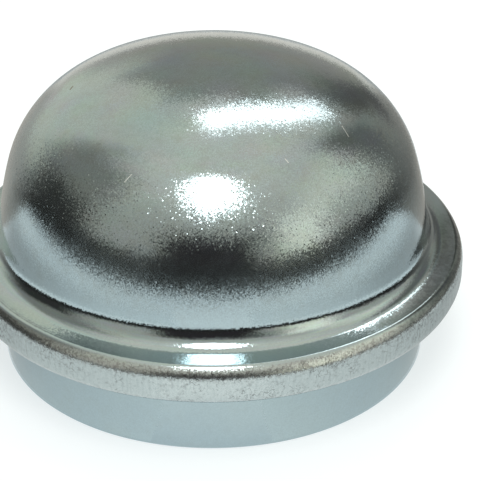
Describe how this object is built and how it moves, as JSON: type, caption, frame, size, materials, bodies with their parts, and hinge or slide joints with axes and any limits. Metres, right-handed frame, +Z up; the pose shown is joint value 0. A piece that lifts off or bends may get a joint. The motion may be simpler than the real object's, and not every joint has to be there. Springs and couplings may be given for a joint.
{
  "type": "hub grease cap",
  "caption": "Domed drive-in hub grease cap drawn from sheet steel, with a folded stop flange and a short open skirt.",
  "frame": {"origin": "centre of the skirt's open rim, on the plane that the cap stands on", "axes": "+Z up along the axis of the cap, from the open rim towards the crown"},
  "size_m": [0.059, 0.059, 0.036],
  "materials": {
    "zinc_plated_steel": "bright zinc plate with a thin clear-blue passivate, smooth on the dome and slightly rougher on the flange edge"
  },
  "bodies": {
    "root": {"grease_cap": "zinc_plated_steel"}
  },
  "joints": []
}
